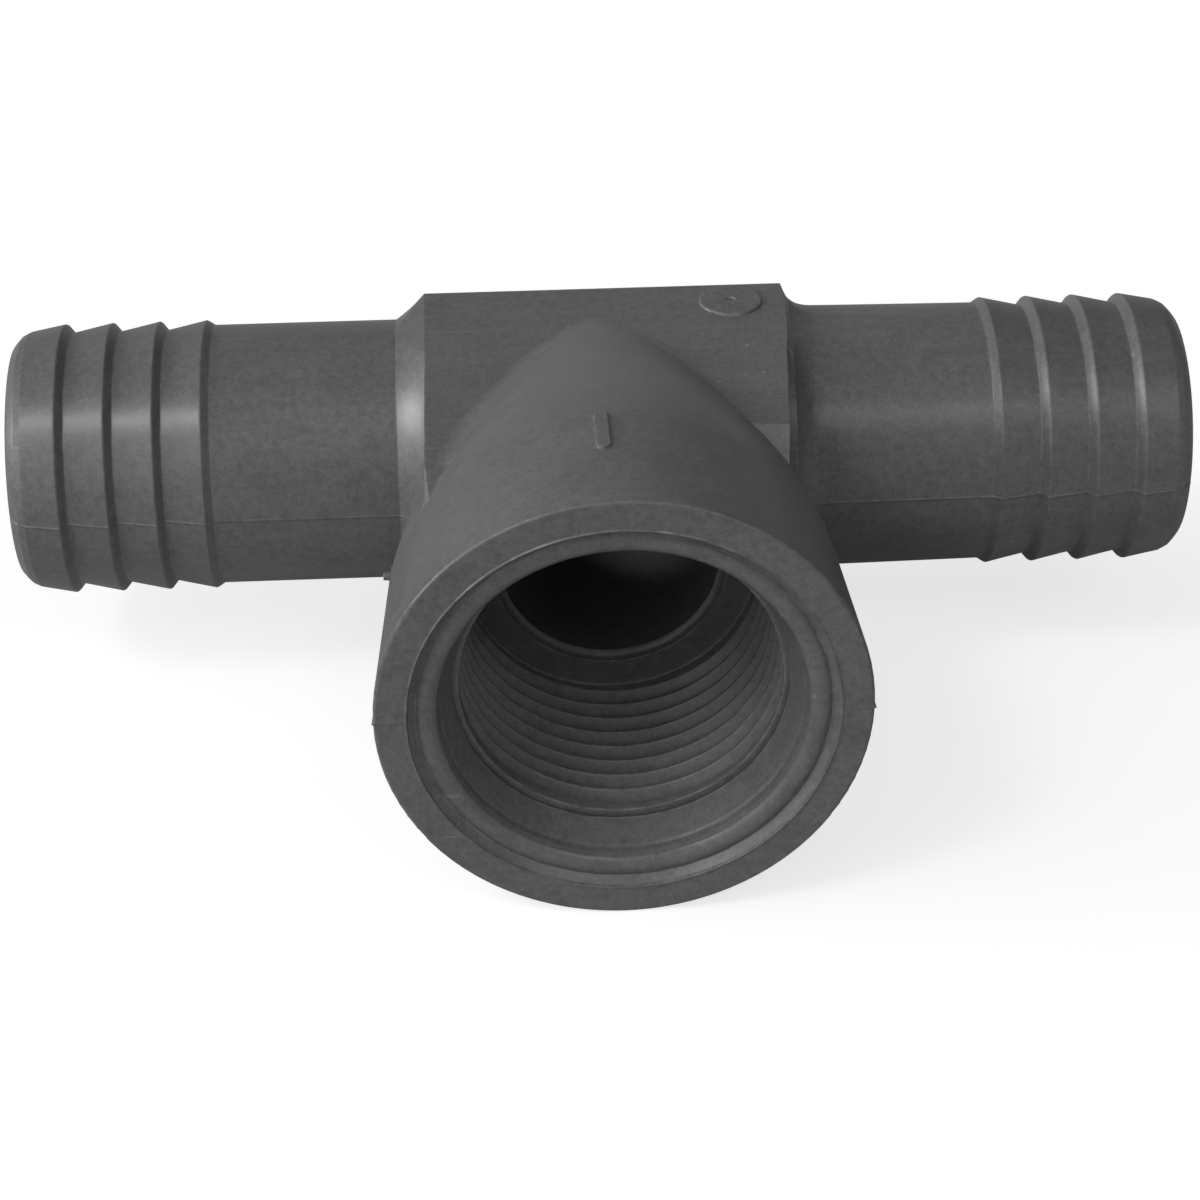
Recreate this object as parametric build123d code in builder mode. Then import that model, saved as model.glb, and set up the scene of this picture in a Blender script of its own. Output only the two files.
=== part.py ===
from build123d import *
import math
import os

# One-inch insert x insert x female pipe thread tee, moulded in one piece.
# X = run axis, -Y = branch axis (the threaded socket opens towards -Y),
# Z = mould draw direction. Origin where the run axis and the branch axis cross.
# Right is +X, left -X, front -Y, back +Y, upper +Z. All lengths in millimetres.

# ---- run: two barbed insert ends -------------------------------------------
RUN_HALF = 58.60            # centre to barbed end
TUBE_R = 13.10              # plain tube between block and barbs
BORE_R = 10.95              # water way through the run
BORE_LEAD = 0.45            # chamfer at each end of the water way
BARB_CREST_R = 13.60
BARB_ROOT_R = 12.72
BARB_FIRST = 39.30          # centre to the first crest
BARB_PITCH = 4.75
BARB_COUNT = 4
BARB_STEP = 0.75            # axial length of the steep side of a barb
BARB_TIP = ((-0.09, -0.07), (0.06, 0))   # rounding of a crest: (x, radius) offsets
# rounded tip of the barbed end: (x, radius)
NOSE = ((57.00, 12.95), (57.75, 12.58), (58.30, 12.00), (RUN_HALF, 11.60))

# ---- centre block ----------------------------------------------------------
PAD_Z = 14.40               # height of the flat pads above and below the axes
CROWN_R = 15.62             # rounded back of the block
BLOCK_LEFT = 17.30          # block side from the branch axis, left and right: the
BLOCK_RIGHT = 18.85         # moulding is a little wider on the right
BLOCK_FRONT = 33.00         # the block runs this far into the boss
PAD_RIGHT = 18.90           # right pad edge on the run axis
PAD_RIGHT_SKEW = -0.082     # it leans in towards the mouth

# sloping sides of the block: direction along X, block side, control point of the
# hollow (nearly flat on the left, deep on the right), point where it meets the tube
SIDES = (
    (1, BLOCK_RIGHT, (19.30, 13.42), (21.90, TUBE_R + 0.20)),
    (-1, BLOCK_LEFT, (18.62, 14.16), (20.20, TUBE_R)),
)

# edges of the pads: direction along X, edge on the run axis, skew, hollow and foot
# of the strip beside the pad (offset from the edge, height), distance to the front
# where the pad turns down towards the boss, slope of that turn in degrees
PAD_SIDES = (
    (1, PAD_RIGHT, PAD_RIGHT_SKEW, (0.28, 13.45), (2.60, 13.20), 22.20, 50.0),
    (-1, BLOCK_LEFT, 0.0, (1.45, 13.70), (2.90, 13.10), 27.80, 18.0),
)

# ---- branch boss -----------------------------------------------------------
MOUTH_Y = 48.20             # centre to mouth face
MOUTH_R = 22.45             # outer radius at the mouth
BOSS_NECK_R = 21.35         # outer radius where the straight skirt starts
BOSS_NECK_Y = 31.50
BOSS_ROOT_R = 14.40         # radius of the boss on the run axis
# control points of the swelling part of the boss: (radius, y)
BOSS_CURVE = ((BOSS_ROOT_R, 0), (15.2, -8), (20.3, -20.5), (BOSS_NECK_R, -BOSS_NECK_Y))
PAD_BLEND = 3.00            # fillet between pad and boss
SIDE_BLEND = 3.00           # fillet between left block side and boss
MOUTH_EDGE_R = 0.30         # rounding of the outer mouth edge

# ---- mouth of the socket: (radius, depth below the mouth face) --------------
LIP_R = 19.60               # thin flash ring on the inner edge of the mouth face
LIP_TALL = 0.16
MOUTH_EDGE = (LIP_R - 0.22, 0.16)
CREASE = (18.70, 0.90)
BEAD_TOP = (17.62, 0.55)
BEAD_IN = (16.80, 1.02)
BEAD_FOOT = (16.60, 1.60)
STEP_FOOT = (16.55, 2.20)
LEAD_START = (16.37, 2.50)
LEAD_END = (15.30, 5.20)
RELIEF_R = 15.90
RELIEF_LEN = 0.45
# section of the flash ring: (offset from LIP_R, depth below the mouth face)
LIP_SECTION = (
    (-0.30, 0.40), (-0.22, 0.05), (-0.17, 0.04 - LIP_TALL),
    (-0.11, -LIP_TALL), (0.03, 0.05), (0.10, 0.40), (-0.30, 0.40),
)

# ---- 1 inch taper pipe thread, 11.5 threads per inch ------------------------
PITCH = 25.4 / 11.5
TAPER = 1.0 / 32.0          # radius lost per millimetre of depth
CREST_R = 14.80             # crest radius at the start of the thread
THREAD_H = 1.55             # groove depth
GROOVE_TOP_HALF = 1.08      # half width of the groove at its open side
GROOVE_BOTTOM_HALF = 0.09
GROOVE_OVERLAP = 0.14       # the groove cutter starts this far inside the crests
GROOVE_PATH_OUT = 0.02      # the helix lies this far outside the crests
THREAD_OUTER_Y = 41.73      # centre of the groove at its end near the mouth
THREAD_TURNS = 7.9
THREAD_LEN = THREAD_TURNS * PITCH
THREAD_INNER_Y = THREAD_OUTER_Y - THREAD_LEN

# ---- floor of the socket and port ------------------------------------------
SEAT_Y = 23.10              # annular floor of the socket
SEAT_R = 14.20
SEAT_EDGE = 0.12            # bevel where the wall meets the floor
CORE_END_Y = SEAT_Y + 0.95  # the tapered core ends just short of the floor
CORE_START_DEPTH = LEAD_END[1] + RELIEF_LEN
CORE_LEN = MOUTH_Y - CORE_START_DEPTH - CORE_END_Y
PORT_R = 10.55              # port from the socket into the run
PORT_LIP = 0.75             # rounded rim of the port

# ---- small moulded features ------------------------------------------------
FIN_OUT = 0.09              # parting line stands this proud
FIN_MOUTH_OUT = 0.05        # and this far in front of the mouth face
FIN_THICK = 0.14

DISC_AT = (13.50, 2.60)     # plain raised disc on the upper pad
DISC_FOOT_R = 3.17
DISC_TALL = 0.24
DISC_SUNK = 0.5             # depth of its root inside the pad
DISC_DRAFT = 2              # degrees
DISC_EDGE_R = 0.14
DIMPLE_R = 0.5
DIMPLE_DEEP = 0.12
DIMPLE_DRAFT = 20           # degrees

BAR_AT = (-1.20, -34.70)    # plain raised bar on top of the boss
BAR_LEN = 7.00
BAR_WIDE = 1.25
BAR_TALL = 0.30
BAR_BASE_Z = 18.0           # inside the boss wall
BAR_BLANK_TALL = 6.0
BAR_SPAN = (30.0, 40.0)     # stretch of skirt that shapes the bar

GATE_X = -19.0              # inner plane of the gate vestige, left of the boss
GATE_Y = 24.10
GATE_RIDGE = (3.4, 0.85)    # length and width of the ridge
GATE_RIDGE_OUT = 2.0
GATE_RIDGE_DRAFT = 6        # degrees
GATE_STUB_SHIFT = 0.1       # the stub sits this far behind the ridge centre
GATE_STUB_R = 0.62
GATE_STUB_OUT = 2.75
GATE_STUB_DRAFT = 5         # degrees

# ---- extents of the cutters --------------------------------------------------
MOUTH_OVERRUN = 1.0         # socket cutter, in front of the mouth face
KEEP_OVERRUN = 20           # boss envelope, in front of the mouth face
CUT_TOP_Z = 18              # top of the shoulder cutters
STRIP_CUT_Y = 40            # front end of the strip cutters
STRIP_CUT_LEN = 70
STRIP_CUT_WIDE = 8          # beyond the foot of the strip
TURN_CUT_LEN = 16           # cutters of the pad turns, along Y
TURN_CUT_WIDE = 24          # and from the branch axis outwards
WALL_CUT_BITE = 0.02        # the wall cutter starts this far inside the block side
WALL_CUT_OUT = 2
WALL_CUT_OVERRUN = 1        # past the front of the block and past the pads
PAD_CUT = (50, 120, 10)     # x, y and z size of each cutter that makes a pad

# front corners of the block turned down onto the skirt
CORNER_TOP = (22.80, -26.5)  # radius and y where the turn starts
CORNER_FOOT_Y = 31.9         # where it reaches the skirt
CORNER_END_Y = 34.0
CORNER_OUT_R = 27.0


def boss_radius(depth):
    # outer radius of the straight skirt of the boss at a distance from the run
    return BOSS_NECK_R + (depth - BOSS_NECK_Y) * (MOUTH_R - BOSS_NECK_R) / (MOUTH_Y - BOSS_NECK_Y)


def at_depth(radius, depth):
    # profile point at a depth below the mouth face
    return (radius, -MOUTH_Y + depth)


def barb_outline():
    # (x, radius) points of a barbed end, from the plain tube out to the end face
    points = []
    for number in range(BARB_COUNT):
        crest = BARB_FIRST + number * BARB_PITCH
        points.append((crest - BARB_STEP, BARB_ROOT_R if number else TUBE_R))
        points += [(crest + x, BARB_CREST_R + rise) for x, rise in BARB_TIP]
    return points + list(NOSE)


def run_profile(block, hollow, flare, proud=0.0):
    # half profile of the run to one side: barbed tube, then the block's back, and
    # the curve that closes it along the hollow side of the block
    points = [(flare[0], flare[1] + proud)]
    points += [(x, y + proud) for x, y in barb_outline()]
    points += [(RUN_HALF, 0), (0, 0), (0, CROWN_R + proud), (block, CROWN_R + proud)]
    curve = (points[-1], (hollow[0], hollow[1] + proud), points[0])
    return points, curve


# ---- cutter for the socket: mouth, lead-in, thread core, seat and port ------
with BuildPart() as socket_core:
    with BuildSketch(Plane.XY):
        with BuildLine():
            Polyline(
                (0, -MOUTH_Y - MOUTH_OVERRUN),
                (MOUTH_EDGE[0], -MOUTH_Y - MOUTH_OVERRUN),
                at_depth(*MOUTH_EDGE),
                at_depth(*CREASE),
            )
            ThreePointArc(at_depth(*CREASE), at_depth(*BEAD_TOP), at_depth(*BEAD_IN))
            Polyline(
                at_depth(*BEAD_IN),
                at_depth(*BEAD_FOOT),
                at_depth(*STEP_FOOT),
                at_depth(*LEAD_START),
                at_depth(*LEAD_END),
                at_depth(RELIEF_R, LEAD_END[1]),
                at_depth(RELIEF_R, CORE_START_DEPTH),
                at_depth(CREST_R, CORE_START_DEPTH),
                (CREST_R - TAPER * CORE_LEN, -CORE_END_Y),
                (SEAT_R, -SEAT_Y - SEAT_EDGE),
                (SEAT_R - SEAT_EDGE, -SEAT_Y),
                (PORT_R + PORT_LIP, -SEAT_Y),
            )
            RadiusArc(
                (PORT_R + PORT_LIP, -SEAT_Y),
                (PORT_R, -SEAT_Y + PORT_LIP),
                -PORT_LIP,
            )
            Polyline(
                (PORT_R, -SEAT_Y + PORT_LIP),
                (PORT_R, 0),
                (0, 0),
                (0, -MOUTH_Y - MOUTH_OVERRUN),
            )
        make_face()
    revolve(axis=Axis.Y)

# ---- cutter for the thread groove --------------------------------------------
# a tapered right-hand helix that starts near the floor of the socket and runs
# out just inside the relief ring at the mouth
with BuildPart() as thread_groove:
    with BuildLine() as path:
        Helix(
            pitch=PITCH,
            height=THREAD_LEN,
            radius=CREST_R + GROOVE_PATH_OUT - TAPER * THREAD_LEN,
            center=(0, -THREAD_INNER_Y, 0),
            direction=(0, -1, 0),
            cone_angle=math.degrees(math.atan(TAPER)),
        )
    start = path.line @ 0
    with BuildSketch(
        Plane(
            origin=start,
            x_dir=(start - Vector(0, -THREAD_INNER_Y, 0)).normalized(),
            z_dir=path.line % 0,
        )
    ):
        with BuildLine():
            Polyline(
                (-GROOVE_OVERLAP, -GROOVE_TOP_HALF),
                (THREAD_H, -GROOVE_BOTTOM_HALF),
                (THREAD_H, GROOVE_BOTTOM_HALF),
                (-GROOVE_OVERLAP, GROOVE_TOP_HALF),
                (-GROOVE_OVERLAP, -GROOVE_TOP_HALF),
            )
        make_face()
    sweep(path=path.line, is_frenet=True)
# turn about the branch axis that brings the outer end of the groove to the top
outer_end = path.line @ 1
THREAD_TURN = -math.degrees(math.atan2(outer_end.X, outer_end.Z))

# ---- plain raised bar that follows the skirt of the boss ---------------------
with BuildPart() as raised_bar:
    with BuildSketch(Plane.XY.offset(BAR_BASE_Z)):
        with Locations(BAR_AT):
            SlotOverall(BAR_LEN, BAR_WIDE, rotation=90)
    extrude(amount=BAR_BLANK_TALL)
    with BuildSketch(Plane.XY):
        with BuildLine():
            Polyline(
                (0, -BAR_SPAN[0]),
                *[(boss_radius(depth) + BAR_TALL, -depth) for depth in BAR_SPAN],
                (0, -BAR_SPAN[1]),
                (0, -BAR_SPAN[0]),
            )
        make_face()
    revolve(axis=Axis.Y, mode=Mode.INTERSECT)

# half section of the boss, run on past the mouth: the cutters below leave it whole
with BuildSketch(Plane.XY) as boss_keep:
    with BuildLine():
        Polyline(
            BOSS_CURVE[-1],
            (MOUTH_R, -MOUTH_Y),
            (MOUTH_R, -MOUTH_Y - KEEP_OVERRUN),
            (0, -MOUTH_Y - KEEP_OVERRUN),
            (0, 0),
            BOSS_CURVE[0],
        )
        Bezier(*BOSS_CURVE)
    make_face()

# ---- cutter for the shoulders ------------------------------------------------
# the sloping strips beside the pads and the pad corners, which turn down towards
# the boss
with BuildPart() as shoulder_cut:
    for level in (1, -1):
        for hand, edge, skew, hollow, foot, turn_y, slope in PAD_SIDES:
            near = edge + STRIP_CUT_Y * skew
            far = near + foot[0] + STRIP_CUT_WIDE
            with BuildSketch(Plane.XZ.offset(STRIP_CUT_Y)):
                with BuildLine():
                    Polyline(
                        (hand * (near + foot[0]), level * foot[1]),
                        (hand * far, level * foot[1]),
                        (hand * far, level * CUT_TOP_Z),
                        (hand * near, level * CUT_TOP_Z),
                        (hand * near, level * PAD_Z),
                    )
                    Bezier(
                        (hand * near, level * PAD_Z),
                        (hand * (near + hollow[0]), level * hollow[1]),
                        (hand * (near + foot[0]), level * foot[1]),
                    )
                make_face()
            extrude(amount=-STRIP_CUT_LEN, dir=(skew, -1, 0))
            drop = TURN_CUT_LEN * math.tan(math.radians(slope))
            with BuildSketch(Plane.YZ):
                with BuildLine():
                    Polyline(
                        (-turn_y, level * PAD_Z),
                        (-turn_y - TURN_CUT_LEN, level * (PAD_Z - drop)),
                        (-turn_y - TURN_CUT_LEN, level * CUT_TOP_Z),
                        (-turn_y, level * CUT_TOP_Z),
                        (-turn_y, level * PAD_Z),
                    )
                make_face()
            extrude(amount=hand * TURN_CUT_WIDE)
    revolve(boss_keep.sketch, axis=Axis.Y, mode=Mode.SUBTRACT)

# ---- cutter for the right wall of the block ----------------------------------
# the wall leans in with its pad edge; the run and the boss are kept
with BuildPart() as wall_cut:
    wall_front = BLOCK_FRONT + WALL_CUT_OVERRUN
    with BuildSketch(Plane.XY):
        with BuildLine():
            Polyline(
                (BLOCK_RIGHT - WALL_CUT_BITE, 0),
                (BLOCK_RIGHT + WALL_CUT_OUT, 0),
                (BLOCK_RIGHT + WALL_CUT_OUT, -wall_front),
                (BLOCK_RIGHT + PAD_RIGHT_SKEW * wall_front, -wall_front),
                (BLOCK_RIGHT - WALL_CUT_BITE, 0),
            )
        make_face()
    extrude(amount=PAD_Z + WALL_CUT_OVERRUN, both=True)
    points, curve = run_profile(*SIDES[0][1:])
    with BuildSketch(Plane.XY):
        with BuildLine():
            Polyline(*points)
            Bezier(*curve)
        make_face()
    revolve(axis=Axis.X, mode=Mode.SUBTRACT)
    revolve(boss_keep.sketch, axis=Axis.Y, mode=Mode.SUBTRACT)

# ---- the tee -------------------------------------------------------------------
with BuildPart() as tee_body:
    # barbed run, rounded back of the block and its sloping sides
    for hand, block, hollow, flare in SIDES:
        points, curve = run_profile(block, hollow, flare)
        with BuildSketch(Plane.XY):
            with BuildLine():
                Polyline(*[(hand * x, y) for x, y in points])
                Bezier(*[(hand * x, y) for x, y in curve])
            make_face()
        revolve(axis=Axis.X)

    # block in front of the run axis
    with BuildSketch(Plane.XY):
        with Locations(((BLOCK_RIGHT - BLOCK_LEFT) / 2, -BLOCK_FRONT / 2)):
            Rectangle(BLOCK_LEFT + BLOCK_RIGHT, BLOCK_FRONT)
    extrude(amount=PAD_Z, both=True)

    # flat pads above and below
    for level in (1, -1):
        with BuildSketch(Plane.XY.offset(level * PAD_Z)):
            Rectangle(PAD_CUT[0], PAD_CUT[1])
        extrude(amount=level * PAD_CUT[2], mode=Mode.SUBTRACT)

    # branch boss: swells out of the block, then a straight drafted skirt
    with BuildSketch(Plane.XY):
        with BuildLine():
            Polyline(
                BOSS_CURVE[-1],
                (MOUTH_R, -MOUTH_Y),
                (0, -MOUTH_Y),
                (0, 0),
                BOSS_CURVE[0],
            )
            Bezier(*BOSS_CURVE)
        make_face()
    revolve(axis=Axis.Y)

    # blends where the pads and the left block side run into the boss
    pad_edges = (
        tee_body.edges()
        .filter_by(GeomType.BSPLINE)
        .filter_by(lambda e: abs(abs(e.center().Z) - PAD_Z) < 0.01 and e.length > 30)
    )
    fillet(pad_edges, radius=PAD_BLEND)
    side_edges = (
        tee_body.edges()
        .filter_by(GeomType.BSPLINE)
        .filter_by(lambda e: abs(e.center().X + BLOCK_LEFT) < 0.01 and e.length > 10)
    )
    fillet(side_edges, radius=SIDE_BLEND)

    add(shoulder_cut.part, mode=Mode.SUBTRACT)
    add(wall_cut.part, mode=Mode.SUBTRACT)

    # front corners of the block turned down onto the skirt
    with BuildSketch(Plane.XY):
        with BuildLine():
            Polyline(
                CORNER_TOP,
                (boss_radius(CORNER_FOOT_Y), -CORNER_FOOT_Y),
                (boss_radius(CORNER_END_Y), -CORNER_END_Y),
                (CORNER_OUT_R, -CORNER_END_Y),
                (CORNER_OUT_R, CORNER_TOP[1]),
                CORNER_TOP,
            )
        make_face()
    revolve(axis=Axis.Y, mode=Mode.SUBTRACT)

    # rounded outer edge of the mouth
    mouth_edges = tee_body.edges().filter_by(
        lambda e: (
            e.geom_type == GeomType.CIRCLE
            and abs(e.center().Y + MOUTH_Y) < 0.01
            and e.length > 50
        )
    )
    fillet(mouth_edges, radius=MOUTH_EDGE_R)

    # parting line: a thin fin around the whole outline in the Z = 0 plane
    with BuildSketch(Plane.XY.offset(-FIN_THICK / 2)):
        for hand, block, hollow, flare in SIDES:
            points, curve = run_profile(block, hollow, flare, FIN_OUT)
            for back in (1, -1):
                with BuildLine():
                    Polyline(*[(hand * x, back * y) for x, y in points])
                    Bezier(*[(hand * x, back * y) for x, y in curve])
                make_face()
            with BuildLine():
                Polyline(
                    (hand * (BOSS_NECK_R + FIN_OUT), -BOSS_NECK_Y),
                    (hand * (MOUTH_R + FIN_OUT), -MOUTH_Y - FIN_MOUTH_OUT),
                    (0, -MOUTH_Y - FIN_MOUTH_OUT),
                    (0, 0),
                    (hand * (BOSS_ROOT_R + FIN_OUT), 0),
                )
                Bezier(*[(hand * (x + FIN_OUT), y) for x, y in BOSS_CURVE])
            make_face()
    extrude(amount=FIN_THICK)

    # gate vestige on the parting line: a short ridge with the broken-off stub
    with BuildSketch(Plane.YZ.offset(GATE_X)):
        with Locations((-GATE_Y, 0)):
            SlotOverall(*GATE_RIDGE)
    extrude(amount=-GATE_RIDGE_OUT, taper=GATE_RIDGE_DRAFT)
    with BuildSketch(Plane.YZ.offset(GATE_X)):
        with Locations((-GATE_Y + GATE_STUB_SHIFT, 0)):
            Circle(GATE_STUB_R)
    extrude(amount=-GATE_STUB_OUT, taper=GATE_STUB_DRAFT)

    add(raised_bar.part)

    # plain raised disc on the upper pad, with a small centre dimple
    with BuildSketch(Plane.XY.offset(PAD_Z - DISC_SUNK)):
        with Locations(DISC_AT):
            Circle(DISC_FOOT_R)
    extrude(amount=DISC_SUNK + DISC_TALL, taper=DISC_DRAFT)
    disc_rim = tee_body.edges().filter_by(
        lambda e: (
            e.geom_type == GeomType.CIRCLE
            and abs(e.center().Z - PAD_Z - DISC_TALL) < 0.01
            and e.length > 15
        )
    )
    fillet(disc_rim, radius=DISC_EDGE_R)
    with BuildSketch(Plane.XY.offset(PAD_Z + DISC_TALL)):
        with Locations(DISC_AT):
            Circle(DIMPLE_R)
    extrude(amount=-DIMPLE_DEEP, taper=DIMPLE_DRAFT, mode=Mode.SUBTRACT)

    # thin flash ring standing on the inner edge of the mouth face
    with BuildSketch(Plane.XY):
        with BuildLine():
            Polyline(*[at_depth(LIP_R + offset, depth) for offset, depth in LIP_SECTION])
        make_face()
    revolve(axis=Axis.Y)

    # threaded socket, then the water way through the run
    add(socket_core.part, mode=Mode.SUBTRACT)
    add(thread_groove.part, rotation=(0, THREAD_TURN, 0), mode=Mode.SUBTRACT)
    with BuildSketch(Plane.YZ.offset(-RUN_HALF)):
        Circle(BORE_R)
    extrude(amount=2 * RUN_HALF, mode=Mode.SUBTRACT)
    run_rims = tee_body.edges().filter_by(
        lambda e: (
            e.geom_type == GeomType.CIRCLE
            and abs(abs(e.center().X) - RUN_HALF) < 0.01
            and abs(e.radius - BORE_R) < 0.01
        )
    )
    chamfer(run_rims, length=BORE_LEAD)

os.makedirs("parts", exist_ok=True)
tee_body.part.label = "tee_body"
export_step(tee_body.part, "parts/tee_body.step")
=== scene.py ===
import math

import bpy
from mathutils import Matrix, Vector


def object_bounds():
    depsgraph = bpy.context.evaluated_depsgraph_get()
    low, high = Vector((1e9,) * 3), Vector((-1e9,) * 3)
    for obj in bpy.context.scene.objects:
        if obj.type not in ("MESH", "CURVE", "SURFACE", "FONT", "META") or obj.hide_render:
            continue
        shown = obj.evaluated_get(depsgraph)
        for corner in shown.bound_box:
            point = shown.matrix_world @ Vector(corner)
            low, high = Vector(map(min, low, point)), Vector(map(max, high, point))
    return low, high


MM = 0.001

# reflectance of the grey compound and of the marks on it
BASE_LOW, BASE_HIGH = 0.110, 0.180
WORN = BASE_HIGH * 1.9
SCUFFED = BASE_HIGH * 1.7
DUST = 0.38

# moulded edges: radius the normals turn over, and a wider one that finds the edges
EDGE_RADIUS = 0.22 * MM
EDGE_SEARCH = 0.45 * MM

# the glossy socket: each pair fades from outside the region to inside it
SOCKET_RADIUS = (17.0 * MM, 16.8 * MM)
SOCKET_Y = (-22.0 * MM, -23.0 * MM)
MIN_ROUGHNESS = 0.282

FLOOR_HALF = 6.0
FLOOR_GAP = 0.05 * MM       # floor lies this far below the tee
FLOOR_GLOW = 0.72           # emission seen by the camera only
WHITE = (1, 1, 1, 1)

# Each row is a soft box far away: azimuth and elevation in degrees (azimuth 0 is
# the viewer's side, positive to the right), sharpness, strength.
SOFT_BOXES = (
    (45, 2, 12, 0.34),
    (180, 2, 12, 0.24),
    (-90, 2, 12, 2.1),
    (-95, 16, 140, 20.0),
    (-45, 2, 12, 0.68),
    (-12, 4, 12, 0.34),
    (-157, 34, 12, 0.16),
    (-67, 34, 12, 1.22),
    (0, 62, 12, 0.3),
    (-55, 51, 200, 18.0),
    (-20, 63, 70, 0.35),
    (18, 46, 350, 8.0),
    (-40, 30, 70, 1.4),
    (42, 42, 120, 2.9),
    (0, 38, 70, 0.4),
)
AMBIENT = 0.05
BACKDROP = 0.93             # plain sky level that the camera sees

CAMERA_PLACE = Vector((-11.6119, -268.4455, 157.9690)) * MM
CAMERA_RIGHT = (0.9988004, -0.0483200, -0.0079335)
CAMERA_UP = (0.0332336, 0.5499343, 0.8345464)
CAMERA_BACK = (-0.0359624, -0.8338090, 0.5508805)
SENSOR_WIDTH = 36.0         # millimetres, as is the focal length
FOCAL_LENGTH = 91.24938


# ---------------------------------------------------------------- node helper
class Graph:
    """Short calls for building the node tree of a material or world."""

    def __init__(self, owner):
        owner.use_nodes = True
        self.tree = owner.node_tree
        self.tree.nodes.clear()

    def node(self, kind, inputs=None, **settings):
        """Add a node; each input is either a socket to link or a value to set."""
        node = self.tree.nodes.new("ShaderNode" + kind)
        for name, value in settings.items():
            setattr(node, name, value)
        for key, value in (inputs or {}).items():
            if isinstance(value, bpy.types.NodeSocket):
                self.tree.links.new(value, node.inputs[key])
            else:
                node.inputs[key].default_value = value
        return node

    def mapping(self, vector, scale, location=(0, 0, 0), rotation=(0, 0, 0)):
        return self.node("Mapping", {
            "Vector": vector, "Scale": scale, "Location": location, "Rotation": rotation,
        }).outputs[0]

    def noise(self, vector, scale, detail=3.0, rough=0.5, distortion=0.0):
        return self.node("TexNoise", {
            "Vector": vector, "Scale": scale, "Detail": detail,
            "Roughness": rough, "Distortion": distortion,
        }).outputs["Fac"]

    def span(self, value, across, to=(0.0, 1.0), smooth=False):
        """Map the range `across` onto the range `to`."""
        return self.node("MapRange", {
            "Value": value, "From Min": across[0], "From Max": across[1],
            "To Min": to[0], "To Max": to[1],
        }, interpolation_type="SMOOTHSTEP" if smooth else "LINEAR").outputs[0]

    def math(self, operation, a, b=0.0, clamp=False):
        return self.node("Math", {0: a, 1: b}, operation=operation, use_clamp=clamp).outputs[0]

    def times(self, value, factor):
        return self.math("MULTIPLY", value, factor)

    def mix(self, factor, a, b):
        inputs = {"Factor": factor, "A": a, "B": b}
        return self.node("Mix", inputs, data_type="RGBA").outputs["Result"]

    def cover(self, base, mask, strength, colour):
        """Lay a colour over the base where the mask is high."""
        return self.mix(self.times(mask, strength), base, colour)

    def bevel(self, radius):
        return self.node("Bevel", {"Radius": radius}, samples=6).outputs["Normal"]

    def dot(self, a, b):
        return self.node("VectorMath", {0: a, 1: b}, operation="DOT_PRODUCT").outputs["Value"]

    def bump(self, height, distance, strength, normal):
        return self.node("Bump", {
            "Height": height, "Distance": distance, "Strength": strength, "Normal": normal,
        }).outputs["Normal"]


def grey(value):
    """The compound's grey, very slightly off neutral."""
    return (value, value * 1.006, value * 1.003, 1.0)


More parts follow.
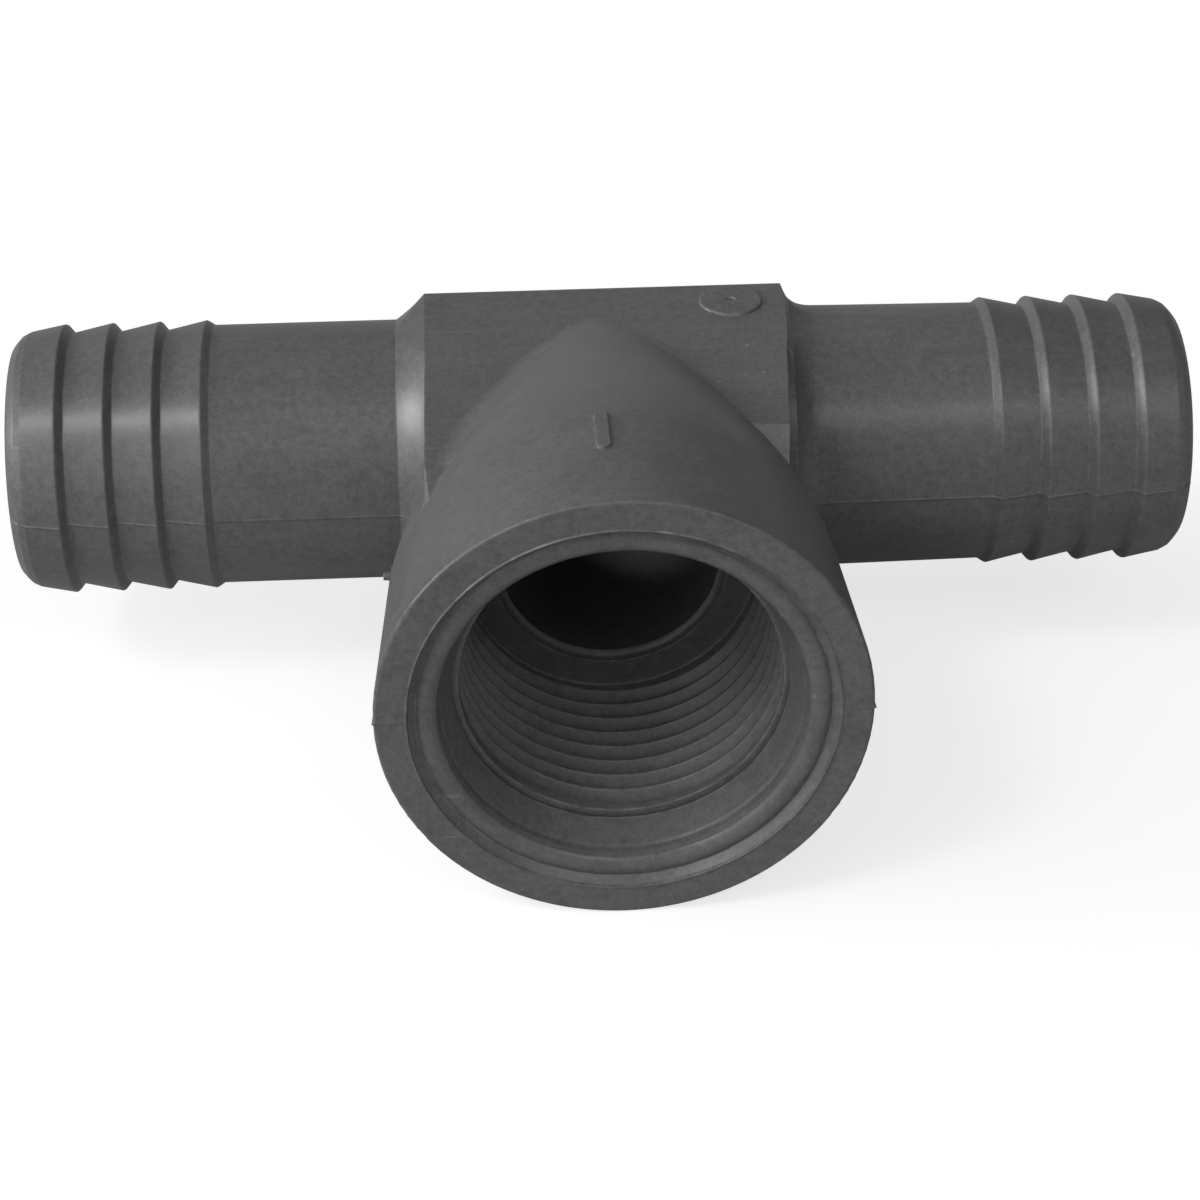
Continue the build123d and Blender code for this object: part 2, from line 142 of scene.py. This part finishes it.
# ---------------------------------------------------------------- materials
def moulded_pvc():
    material = bpy.data.materials.new("grey_pvc")
    n = Graph(material)
    at = n.node("TexCoord").outputs["Object"]

    # edges are where the widely bevelled normal leaves the true one
    soft = n.bevel(EDGE_RADIUS)
    turn = n.dot(n.bevel(EDGE_SEARCH), n.node("NewGeometry").outputs["Normal"])
    edge = n.span(turn, across=(0.985, 0.86), smooth=True)

    # cloudy tone of the compound, mottle of the mould skin and fine grain
    cloud = n.noise(
        n.mapping(at, scale=(1, 1, 1.3)), scale=110, rough=0.55, distortion=0.4
    )
    mottle = n.noise(at, scale=1250, rough=0.60)
    grain = n.noise(at, scale=3600, rough=0.65)
    # faint flow lines drawn out along X
    flow = n.noise(
        n.mapping(at, scale=(40, 260, 520), location=(0.8, 0.0, 0.0), rotation=(0, 0, 0.35)),
        scale=1.0, detail=4.0, rough=0.6, distortion=1.2,
    )
    # each layer's range of noise and its share of the tone
    tone, *finer = [
        n.times(n.span(layer, across=across, to=(-0.5, 0.5)), factor=share)
        for layer, across, share in (
            (cloud, (0.3, 0.7), 0.22),
            (mottle, (0.25, 0.75), 0.62),
            (grain, (0.25, 0.75), 0.62),
            (flow, (0.3, 0.7), 0.16),
        )
    ]
    for layer in finer:
        tone = n.math("ADD", tone, layer)
    base = n.mix(
        n.span(tone, across=(-0.55, 0.55), smooth=True), grey(BASE_LOW), grey(BASE_HIGH)
    )

    # pale rubbed edges, broken up so that they aren't an even line
    broken = n.span(n.noise(at, scale=420, rough=0.7), across=(0.42, 0.62))
    worn = n.math("MULTIPLY", edge, broken)
    base = n.cover(base, worn, strength=0.55, colour=grey(WORN))

    # handling scuffs: short thin pale marks in a few patches
    ripple = n.noise(
        n.mapping(at, scale=(90, 1500, 1500), rotation=(0.5, 0.2, 0.9)), scale=1.0, detail=2.0
    )
    patch = n.span(n.noise(at, scale=75, detail=2.0), across=(0.56, 0.68))
    scuff = n.math("MULTIPLY", n.span(ripple, across=(0.66, 0.72)), patch)
    base = n.cover(base, scuff, strength=0.35, colour=grey(SCUFFED))

    # dust specks: the centres of sparse cells, in patches
    cells = n.node("TexVoronoi", {"Vector": at, "Scale": 260}).outputs["Distance"]
    dusty = n.span(n.noise(at, scale=60, detail=1.0), across=(0.50, 0.56))
    speck = n.math("MULTIPLY", n.span(cells, across=(0.070, 0.045)), dusty)
    base = n.cover(base, speck, strength=0.5, colour=grey(DUST))

    rough = n.math(
        "ADD",
        n.span(mottle, across=(0.3, 0.7), to=(0.29, 0.36)),
        n.span(flow, across=(0.3, 0.7), to=(-0.025, 0.025)),
    )
    rough = n.math("SUBTRACT", rough, n.times(edge, factor=0.05))
    # the threaded socket is moulded on a polished core, so it is glossier
    x, y, z = n.node("SeparateXYZ", {0: at}).outputs
    squares = n.math("ADD", n.math("MULTIPLY", x, x), n.math("MULTIPLY", z, z))
    radius = n.math("SQRT", squares)
    socket = n.math(
        "MULTIPLY", n.span(radius, across=SOCKET_RADIUS), n.span(y, across=SOCKET_Y)
    )
    rough = n.math("SUBTRACT", rough, n.times(socket, factor=0.11))
    rough = n.math("ADD", rough, n.times(speck, factor=0.25), clamp=True)
    rough = n.math("MAXIMUM", rough, MIN_ROUGHNESS)

    # relief of each layer: height, distance, strength
    normal = soft
    for height, distance, strength in (
        (cloud, 0.05 * MM, 0.6),
        (flow, 0.02 * MM, 0.5),
        (mottle, 0.012 * MM, 0.75),
        (grain, 0.0045 * MM, 0.7),
        (speck, 0.03 * MM, 0.6),
    ):
        normal = n.bump(height, distance, strength, normal)

    shader = n.node("BsdfPrincipled", {
        "Base Color": base, "IOR": 1.50, "Roughness": rough, "Normal": normal,
    })
    n.node("OutputMaterial", {"Surface": shader.outputs[0]})
    return material


def floor_paint():
    """Pale paint; to the camera it is nearly white with a faint shadow under the tee."""
    material = bpy.data.materials.new("floor")
    n = Graph(material)
    at = n.node("TexCoord").outputs["Object"]
    soft = n.noise(at, scale=4, detail=2.0)
    paint = n.node("BsdfPrincipled", {
        "Base Color": n.mix(soft, (0.49, 0.49, 0.49, 1), (0.51, 0.51, 0.51, 1)),
        "Roughness": 0.9,
        "Specular IOR Level": 0.1,
    })
    seen = n.node("LightPath").outputs["Is Camera Ray"]
    glow = n.node("Emission", {"Color": WHITE, "Strength": n.times(seen, factor=FLOOR_GLOW)})
    both = n.node("AddShader", {0: paint.outputs[0], 1: glow.outputs[0]})
    n.node("OutputMaterial", {"Surface": both.outputs[0]})
    return material


# ---------------------------------------------------------------- floor, light, camera
def add_floor(height):
    mesh = bpy.data.meshes.new("floor")
    half = FLOOR_HALF
    corners = [(-half, -half, 0), (half, -half, 0), (half, half, 0), (-half, half, 0)]
    mesh.from_pydata(corners, [], [(0, 1, 2, 3)])
    floor = bpy.data.objects.new("floor", mesh)
    floor.location = (0, 0, height)
    scene.collection.objects.link(floor)
    mesh.materials.append(floor_paint())


def add_studio():
    """Soft boxes painted on the world as round, smoothly fading spots."""
    world = bpy.data.worlds.new("studio")
    scene.world = world
    n = Graph(world)
    around = n.node("TexCoord").outputs["Generated"]
    toward = n.node("VectorMath", {0: around}, operation="NORMALIZE").outputs[0]
    level = AMBIENT
    for azimuth, elevation, sharpness, strength in SOFT_BOXES:
        az, el = math.radians(azimuth), math.radians(elevation)
        box = (math.sin(az) * math.cos(el), -math.cos(az) * math.cos(el), math.sin(el))
        falloff = n.times(n.math("SUBTRACT", n.dot(toward, box), 1.0), sharpness)
        level = n.math("ADD", n.times(n.math("EXPONENT", falloff), strength), level)
    # the camera itself sees a plain pale backdrop
    seen = n.node("LightPath").outputs["Is Camera Ray"]
    unseen = n.math("MULTIPLY", level, n.math("SUBTRACT", 1.0, seen))
    shown = n.math("ADD", unseen, n.times(seen, factor=BACKDROP))
    sky = n.node("Background", {"Color": WHITE, "Strength": shown})
    n.node("OutputWorld", {"Surface": sky.outputs[0]})


def add_camera():
    data = bpy.data.cameras.new("camera")
    data.sensor_fit = "HORIZONTAL"
    data.sensor_width = SENSOR_WIDTH
    data.lens = FOCAL_LENGTH
    data.clip_start = 0.01
    data.clip_end = 50.0
    camera = bpy.data.objects.new("camera", data)
    scene.collection.objects.link(camera)
    rotation = Matrix((CAMERA_RIGHT, CAMERA_UP, CAMERA_BACK)).transposed()
    camera.matrix_world = Matrix.Translation(CAMERA_PLACE) @ rotation.to_4x4()
    scene.camera = camera


# ---------------------------------------------------------------- build
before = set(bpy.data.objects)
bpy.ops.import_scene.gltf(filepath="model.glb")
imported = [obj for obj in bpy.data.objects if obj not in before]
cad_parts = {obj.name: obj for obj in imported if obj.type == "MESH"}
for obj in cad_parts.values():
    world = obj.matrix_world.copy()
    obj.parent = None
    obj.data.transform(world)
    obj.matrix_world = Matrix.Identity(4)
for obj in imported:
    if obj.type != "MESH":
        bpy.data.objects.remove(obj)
cad_low, cad_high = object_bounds()
scene = bpy.context.scene

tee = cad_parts["tee_body"]
tee.data.materials.clear()
tee.data.materials.append(moulded_pvc())
add_floor(cad_low[2] - FLOOR_GAP)
add_studio()
add_camera()

scene.view_settings.view_transform = "Standard"
scene.view_settings.look = "None"
scene.view_settings.exposure = 0.0
scene.view_settings.gamma = 1.0
